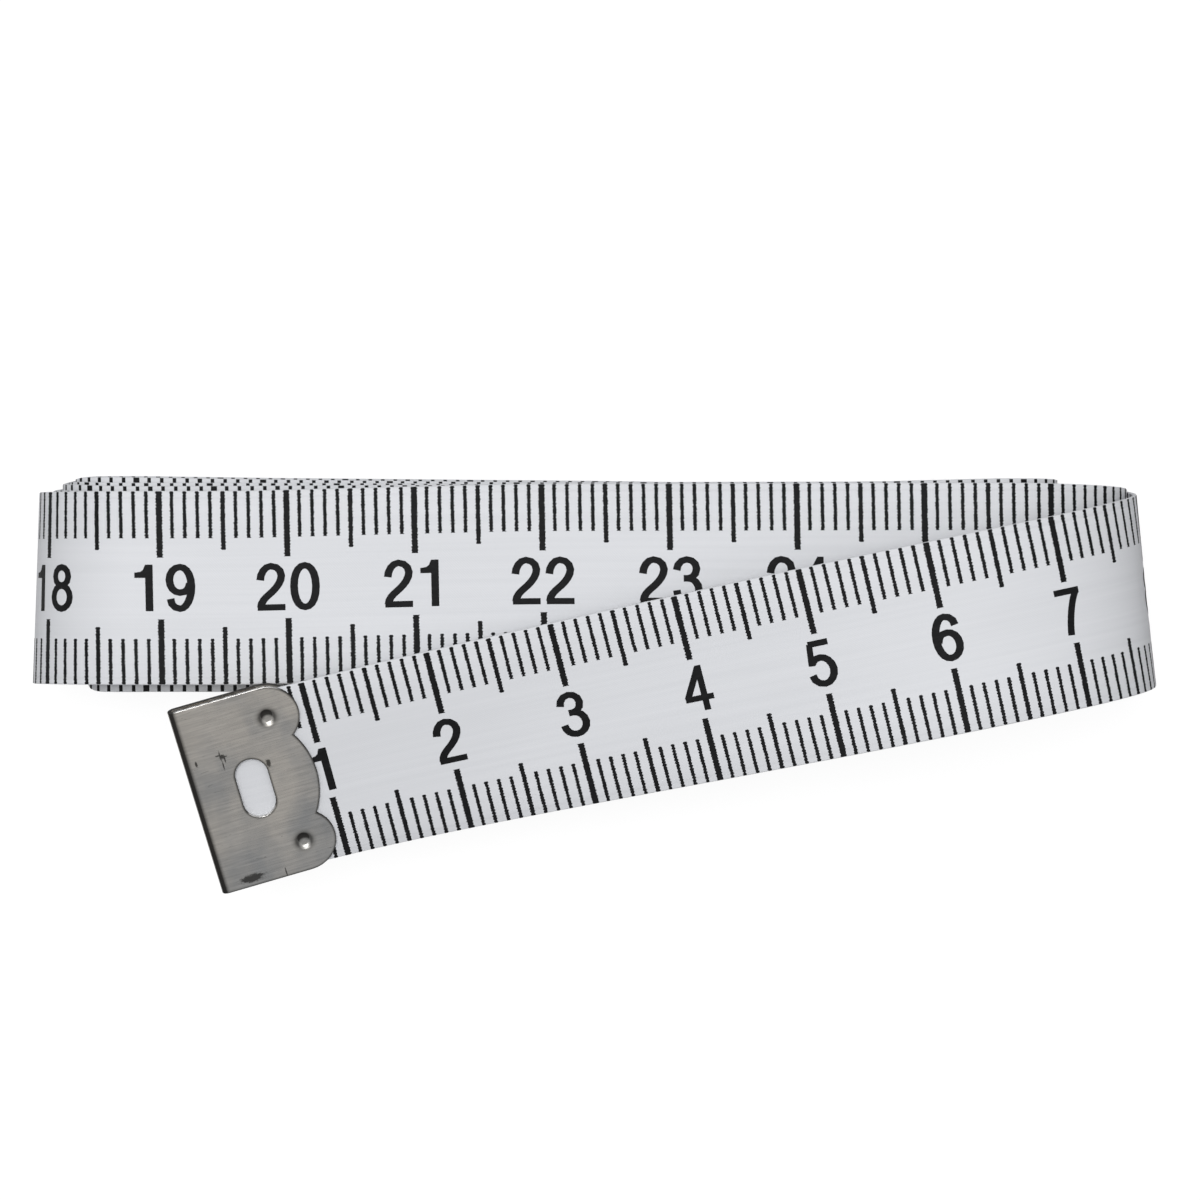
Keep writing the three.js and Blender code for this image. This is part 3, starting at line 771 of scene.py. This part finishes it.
def strokeQuads(pen, knots):
    # a pen drawn along the stroke, as the two edges of its line
    line = []
    for (x0, y0, dx0, dy0), (x1, y1, dx1, dy1) in zip(knots, knots[1:]):
        start, end = Vector((x0, y0)), Vector((x1, y1))
        steps = max(2, round((end - start).length / scale["strokeStep"])) + 1
        bend = interpolate_bezier(start, start + Vector((dx0, dy0)), end - Vector((dx1, dy1)), end, steps)
        line += list(bend)[1 if line else 0:]
    closed = knots[0][:2] == knots[-1][:2]
    corners = []
    for index, point in enumerate(line):
        before = line[index - 1] if index else (line[-2] if closed else point)
        after = line[index + 1] if index + 1 < len(line) else (line[1] if closed else point)
        heading = (after - before).normalized()
        aside = Vector((-heading.y * pen[0], heading.x * pen[1])) * scale["bold"] / 2
        corners += [point + aside, point - aside]
    if closed:
        corners[-2:] = corners[:2]
    quads = [(2 * i, 2 * i + 1, 2 * i + 3, 2 * i + 2) for i in range(len(line) - 1)]
    return corners, quads


def cutFigure(name):
    # the strokes of a figure merged into one flat shape
    corners, quads = [], []
    for pen, knots in figures[name]:
        points, faces = strokeQuads(pen, knots)
        quads += [tuple(index + len(corners) for index in face) for face in faces]
        corners += points
    verts, _, faces, _, _, sources = delaunay_2d_cdt(corners, [], quads, 4, 1e-4)
    bm = bmesh.new()
    made = [bm.verts.new((*vert, 0)) for vert in verts]
    for face, source in zip(faces, sources):
        if source:
            bm.faces.new([made[index] for index in face])
    loose = [vert for vert in bm.verts if not vert.link_faces]
    bmesh.ops.delete(bm, geom=loose, context="VERTS")
    mesh = bpy.data.meshes.new("figure" + name)
    bm.to_mesh(mesh)
    bm.free()
    return mesh


def printTick(bm, place, kind, row, fine, dice):
    # a slim strip from the tape's edge inwards, its sides frayed by the weave where it shows
    size = scale[kind]
    length = size["length"] - (scale["lowerShort"] if row < 0 else 0)
    steps = round(length / scale["raggedStep"]) if fine else 1
    made = bmesh.ops.create_grid(bm, x_segments=1, y_segments=steps, size=0.5)
    edge = tape["width"] / 2 - scale["edgeInset"]
    for vert in made["verts"]:
        step = round((vert.co.y + 0.5) * steps)
        half = size["width"] / 2
        if fine:
            half += dice.uniform(*scale["raggedShares"]) * scale["ragged"] * (1 if step % 2 else -1)
        side = math.copysign(half, vert.co.x)
        vert.co = (place + side, row * (edge - step / steps * length), 0)


def printCentimetre(centimetre, start, end, fineEnds, rows):
    # the ten ticks of each row from this centimetre on, and its number, cut where the tape bends
    dice = random.Random(scale["seed"] * 1000 + centimetre)
    bm = bmesh.new()
    for place in range(centimetre * 10, centimetre * 10 + 10):
        if place == 0 or not start <= place < end:
            continue
        kind = "millimetre" if place % 5 else "half" if place % 10 else "centimetre"
        for row in (1, -1):
            printTick(bm, place, kind, row, fineEnds[0] <= place <= fineEnds[1], dice)
    word = str(centimetre) if centimetre and start <= centimetre * 10 < end else ""
    middle = centimetre * 10 + scale["strays"].get(centimetre, 0)
    for index, name in enumerate(word):
        first = len(bm.verts)
        bm.from_mesh(figureMeshes[name])
        bm.verts.ensure_lookup_table()
        left = middle + (index - len(word) / 2) * scale["cell"]
        bmesh.ops.translate(bm, verts=bm.verts[first:], vec=(left, -scale["figureHeight"] / 2, 0))
    for vert in bm.verts:
        vert.co.x += scale["skew"] * vert.co.y
    near = (rows > centimetre * 10 - scale["numberRoom"]) & (rows < centimetre * 10 + 10)
    for row in rows[near]:
        bmesh.ops.bisect_plane(bm, geom=bm.verts[:] + bm.edges[:] + bm.faces[:], dist=1e-4,
                               plane_co=(row, 0, 0), plane_no=(1, 0, 0))
    mesh = bpy.data.meshes.new("centimetre")
    bm.to_mesh(mesh)
    bm.free()
    return mesh


def printScale(name, start, end, reverse=False):
    # the reverse counts from the other end, so its drawing is turned over lengthwise
    first, last = (tape["length"] - end, tape["length"] - start) if reverse else (start, end)
    fine = scale["fineUpTo"]["back" if reverse else "front"]
    fineEnds = (tape["length"] - fine, tape["length"]) if reverse else (0, fine)
    rows = tape["length"] - bendRows if reverse else bendRows
    bm = bmesh.new()
    for centimetre in range(int(first // 10), math.ceil(last / 10)):
        block = printCentimetre(centimetre, first, last, fineEnds, rows)
        bm.from_mesh(block)
        bpy.data.meshes.remove(block)
    for vert in bm.verts:
        vert.co.z = tape["thickness"] / 2 + scale["height"]
    if reverse:
        middle = (tape["length"] / 2, 0, 0)
        bmesh.ops.rotate(bm, verts=bm.verts[:], cent=middle, matrix=Matrix.Rotation(math.pi, 3, "Y"))
    up = -1 if reverse else 1
    bm.normal_update()
    wrong = [face for face in bm.faces if face.normal.z * up < 0]
    bmesh.ops.reverse_faces(bm, faces=wrong)
    mapFlat(bm, tapeMap)
    mesh = bpy.data.meshes.new(name)
    bm.to_mesh(mesh)
    bm.free()
    windMesh(mesh)
    return addPiece(name, mesh, inkLook)


figureMeshes = {name: cutFigure(name) for name in sorted(figures)}
print("figures:", ", ".join(f"{name} {len(mesh.polygons)} faces" for name, mesh in figureMeshes.items()))
printPieces = {}
for name, (start, end) in cloth["stretches"].items():
    printPieces[name] = [
        printScale(name.replace("tape", "scaleFront"), start, end),
        printScale(name.replace("tape", "scaleBack"), start, end, reverse=True),
    ]
    counts = [f"{piece.name} {len(piece.data.polygons)} faces" for piece in printPieces[name]]
    print("print:", ", ".join(counts))


# Metal tips: a flat blank with two scalloped leaves, folded over the tape's end
tip = {
    "length": 9.9,
    "width": 16.0,
    "sheet": 0.28,
    "outerHalf": 0.52,  # half the thickness of the folded tip at its fold
    "pinch": 0.05,  # how much closer the leaves lie at their free edges
    "cornerLobe": 2.55,
    "middleLobe": 6.7,
    "slotWidth": 2.6,
    "slotLength": 5.0,
    "slotSetback": 4.9,
    "dentRings": [  # radius and depth, from the rim inwards
        (0.84, 0.0), (0.75, 0.012), (0.67, 0.05), (0.57, 0.13), (0.45, 0.225), (0.31, 0.30), (0.15, 0.335),
    ],
    "dentSteps": 28,
    "arcSteps": 14,
    "foldSteps": 10,
    "edgeRound": 0.12,
    "edgeTurn": 50.0,  # degrees, from which an edge is rounded
}


def arcPoints(centre, radius, start, end, steps):
    turns = [start + (end - start) * step / steps for step in range(steps + 1)]
    return [(centre[0] + radius * math.cos(turn), centre[1] + radius * math.sin(turn)) for turn in turns]


def leafOutline():
    # from the fold round one corner lobe, the middle lobe and the other corner lobe, and back
    corner = Vector((tip["length"] - tip["cornerLobe"], tip["width"] / 2 - tip["cornerLobe"]))
    middle = Vector((tip["length"] - tip["middleLobe"], 0))
    apart = corner - middle
    reach = (tip["middleLobe"] ** 2 - tip["cornerLobe"] ** 2 + apart.length_squared) / (2 * apart.length)
    aside = math.sqrt(tip["middleLobe"] ** 2 - reach**2)
    unit = apart.normalized()
    notch = middle + unit * reach + Vector((unit.y, -unit.x)) * aside
    cornerTurn = math.atan2(notch.y - corner.y, notch.x - corner.x)
    middleTurn = math.atan2(notch.y - middle.y, notch.x - middle.x)
    steps = tip["arcSteps"]
    upper = arcPoints(corner, tip["cornerLobe"], cornerTurn, math.pi / 2, steps)
    lower = arcPoints((corner.x, -corner.y), tip["cornerLobe"], -math.pi / 2, -cornerTurn, steps)
    return lower + arcPoints(middle, tip["middleLobe"], -middleTurn, middleTurn, steps)[1:-1] + upper, corner


def slotOutline():
    end = (tip["slotLength"] - tip["slotWidth"]) / 2
    radius = tip["slotWidth"] / 2
    upper = arcPoints((tip["slotSetback"], end), radius, 0, math.pi, tip["arcSteps"])
    return upper + arcPoints((tip["slotSetback"], -end), radius, math.pi, 2 * math.pi, tip["arcSteps"])


quarterFold = tip["outerHalf"] * math.pi / 2
unroll = quarterFold - tip["outerHalf"]  # a leaf lies this much further out on the flat blank
leaf, corner = leafOutline()
dentPlace = (corner.x + unroll, corner.y)
metalLook = sheetMetalMaterial()
edgeLook = cutEdgeMaterial()


def addLoop(bm, points):
    verts = [bm.verts.new((x, y, 0)) for x, y in points]
    return [bm.edges.new((verts[index - 1], verts[index])) for index in range(len(verts))]


def pressDent(bm, rim):
    # the rim of a round hole drawn in and down, ring by ring, and closed at the bottom
    verts = {vert for edge in rim for vert in edge.verts}
    centre = sum((vert.co for vert in verts), Vector()) / len(verts)
    radius, depth = tip["dentRings"][0]
    for nextRadius, nextDepth in tip["dentRings"][1:]:
        made = bmesh.ops.extrude_edge_only(bm, edges=rim)["geom"]
        ring = [item for item in made if isinstance(item, bmesh.types.BMVert)]
        rim = [item for item in made if isinstance(item, bmesh.types.BMEdge)
               and all(vert in ring for vert in item.verts)]
        bmesh.ops.scale(bm, verts=ring, vec=(nextRadius / radius,) * 3, space=Matrix.Translation(-centre))
        bmesh.ops.translate(bm, verts=ring, vec=(0, 0, depth - nextDepth))
        radius, depth = nextRadius, nextDepth
    bmesh.ops.holes_fill(bm, edges=rim)


def bendBlank(mesh):
    # the flat blank goes round the fold: along it becomes the front leaf, the fold and the back leaf
    radius = tip["outerHalf"]
    for vert in mesh.vertices:
        along, across, height = vert.co
        reach = radius + height
        if abs(along) < quarterFold:
            turn = along / radius
            vert.co = (-reach * math.cos(turn), across, reach * math.sin(turn))
        else:
            out = abs(along) - quarterFold
            reach -= tip["pinch"] * out / tip["length"]
            vert.co = (out, across, math.copysign(reach, along))


def foldTip(name, place, heading):
    front = [(x + unroll, y) for x, y in leaf]
    bm = bmesh.new()
    edges = addLoop(bm, front + [(-x, -y) for x, y in front])
    for side in (1, -1):
        edges += addLoop(bm, [(side * (x + unroll), y) for x, y in slotOutline()])
    rims = []
    for side in (1, -1):
        centre = (dentPlace[0], side * dentPlace[1])
        circle = arcPoints(centre, tip["dentRings"][0][0], 0, 2 * math.pi, tip["dentSteps"])
        rims.append(addLoop(bm, circle[:-1]))
        edges += rims[-1]
    bmesh.ops.triangle_fill(bm, use_beauty=True, use_dissolve=False, edges=edges)
    for rim in rims:
        pressDent(bm, rim)
    for step in range(tip["foldSteps"] + 1):
        cut = quarterFold * (2 * step / tip["foldSteps"] - 1)
        bmesh.ops.bisect_plane(bm, geom=bm.verts[:] + bm.edges[:] + bm.faces[:], plane_co=(cut, 0, 0),
                               plane_no=(1, 0, 0))
    bmesh.ops.recalc_face_normals(bm, faces=bm.faces[:])
    if sum(face.normal.z * face.calc_area() for face in bm.faces) < 0:
        bmesh.ops.reverse_faces(bm, faces=bm.faces[:])
    mapFlat(bm, tipMap)
    mesh = bpy.data.meshes.new(name)
    bm.to_mesh(mesh)
    bm.free()
    bendBlank(mesh)
    ends = {key: atPlace([place], key)[0] for key in ("point", "across", "front")}
    across = Vector(ends["across"]) * heading
    out = Vector(ends["front"])
    along = across.cross(out)
    seat = Matrix((along, across, out)).transposed().to_4x4()
    seat.translation = Vector(ends["point"]) * mm
    mesh.transform(seat @ Matrix.Diagonal((mm, mm, mm, 1)))
    mesh.shade_smooth()
    piece = addPiece(name, mesh, metalLook)
    mesh.materials.append(edgeLook)
    wall = piece.modifiers.new("sheet", "SOLIDIFY")
    wall.thickness = tip["sheet"] * mm
    wall.offset = -1
    wall.use_even_offset = True
    wall.material_offset_rim = 1
    rounded = piece.modifiers.new("edges", "BEVEL")
    rounded.width = tip["edgeRound"] * mm
    rounded.segments = 3
    rounded.material = 1
    rounded.limit_method = "ANGLE"
    rounded.angle_limit = math.radians(tip["edgeTurn"])
    rounded.harden_normals = True
    return piece


startTip = foldTip("tipStart", 0.0, 1)
endTip = foldTip("tipEnd", tape["length"], -1)
print("tips folded")


def bendAcross(piece):
    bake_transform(piece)


for piece in [tapePieces["tapeFree"], *printPieces["tapeFree"]]:
    bendAcross(piece)
for piece in [tapePieces["tapeLowerBend"], *printPieces["tapeLowerBend"]]:
    bendAcross(piece)
for piece in [tapePieces["tapeWound"], *printPieces["tapeWound"], endTip]:
    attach(piece, "hank")
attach(startTip, "free_run")

replaced = {
    "tapeFree": "tape_free_run",
    "tapeLowerBend": "tape_fold",
    "tapeWound": "tape_hank",
}
for name, node in replaced.items():
    start, end = cloth["stretches"][name]
    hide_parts(node)
for piece, node in ((startTip, "start_tip"), (endTip, "end_tip")):
    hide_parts(node)
print("wound tape, its print and both tips ride on their bodies")


# Stage: a pale floor, soft light from above and a camera that looks straight down
floor = {
    "side": 6.0,  # metres
    "drop": 0.06,
    "paint": (0.16, 0.16, 0.16, 1),
    "roughness": 0.9,
    "glow": 0.90,  # own light that only the camera and mirrors see, so that the ground is white
}


def paleFloor():
    bm = bmesh.new()
    bmesh.ops.create_grid(bm, x_segments=1, y_segments=1, size=floor["side"] / 2)
    bmesh.ops.translate(bm, verts=bm.verts[:], vec=(0, 0, -floor["drop"] * mm))
    mesh = bpy.data.meshes.new("floor")
    bm.to_mesh(mesh)
    bm.free()
    material, tree, shader = newMaterial("paleFloor")
    shader.inputs["Base Color"].default_value = floor["paint"]
    shader.inputs["Roughness"].default_value = floor["roughness"]
    shader.inputs["Specular IOR Level"].default_value = 0.0
    shader.inputs["Emission Color"].default_value = (1, 1, 1, 1)
    rays = addNode(tree, "ShaderNodeLightPath")
    seen = maths(tree, "MAXIMUM", rays.outputs["Is Camera Ray"], rays.outputs["Is Glossy Ray"])
    seen = maths(tree, "MAXIMUM", seen, rays.outputs["Is Transmission Ray"])
    tree.links.new(maths(tree, "MULTIPLY", seen, floor["glow"]), shader.inputs["Emission Strength"])
    return addPiece("floor", mesh, material)


paleFloor()

skyStops = [(0.0, (0.42, 0.42, 0.42)), (0.45, (0.46, 0.46, 0.465)), (1.0, (0.46, 0.46, 0.47))]


def softSky():
    world = bpy.data.worlds.new("softSky")
    bpy.context.scene.world = world
    world.use_nodes = True
    tree = world.node_tree
    direction = addNode(tree, "ShaderNodeTexCoord")
    split = addNode(tree, "ShaderNodeSeparateXYZ")
    tree.links.new(direction.outputs["Generated"], split.inputs["Vector"])
    glow = ramp(tree, split.outputs["Z"], skyStops)
    tree.links.new(glow.outputs["Color"], tree.nodes["Background"].inputs["Color"])


softSky()

lamps = {
    "key": {"place": (-0.20, 0.22, 1.60), "aim": (0, 0, 0), "size": 0.90, "watts": 15.3},
    "rear": {"place": (0.05, 1.10, 1.25), "aim": (0, 0, 0), "size": 0.50, "watts": 2.2},
}


def addLamp(name, lamp):
    light = bpy.data.lights.new(name, "AREA")
    light.energy = lamp["watts"]
    light.size = lamp["size"]
    holder = bpy.data.objects.new(name, light)
    bpy.context.scene.collection.objects.link(holder)
    holder.location = lamp["place"]
    holder.rotation_euler = (Vector(lamp["aim"]) - holder.location).to_track_quat("-Z", "Y").to_euler()


for name, lamp in lamps.items():
    addLamp(name, lamp)

cameraView = {
    "above": (1.72, -1.235),
    "height": 463.43,
    "focalPixels": 5742.0,
    "framePixels": 1200.0,
    "sensor": 36.0,
    "near": 0.01,  # metres, as is the next
    "far": 20.0,
}


def addCamera():
    camera = bpy.data.cameras.new("camera")
    camera.sensor_width = cameraView["sensor"]
    camera.lens = camera.sensor_width * cameraView["focalPixels"] / cameraView["framePixels"]
    camera.clip_start = cameraView["near"]
    camera.clip_end = cameraView["far"]
    holder = bpy.data.objects.new("camera", camera)
    bpy.context.scene.collection.objects.link(holder)
    holder.location = Vector((*cameraView["above"], cameraView["height"])) * mm
    bpy.context.scene.camera = holder


addCamera()
bpy.context.scene.view_settings.view_transform = "Standard"
print("stage, lamps and camera ready")
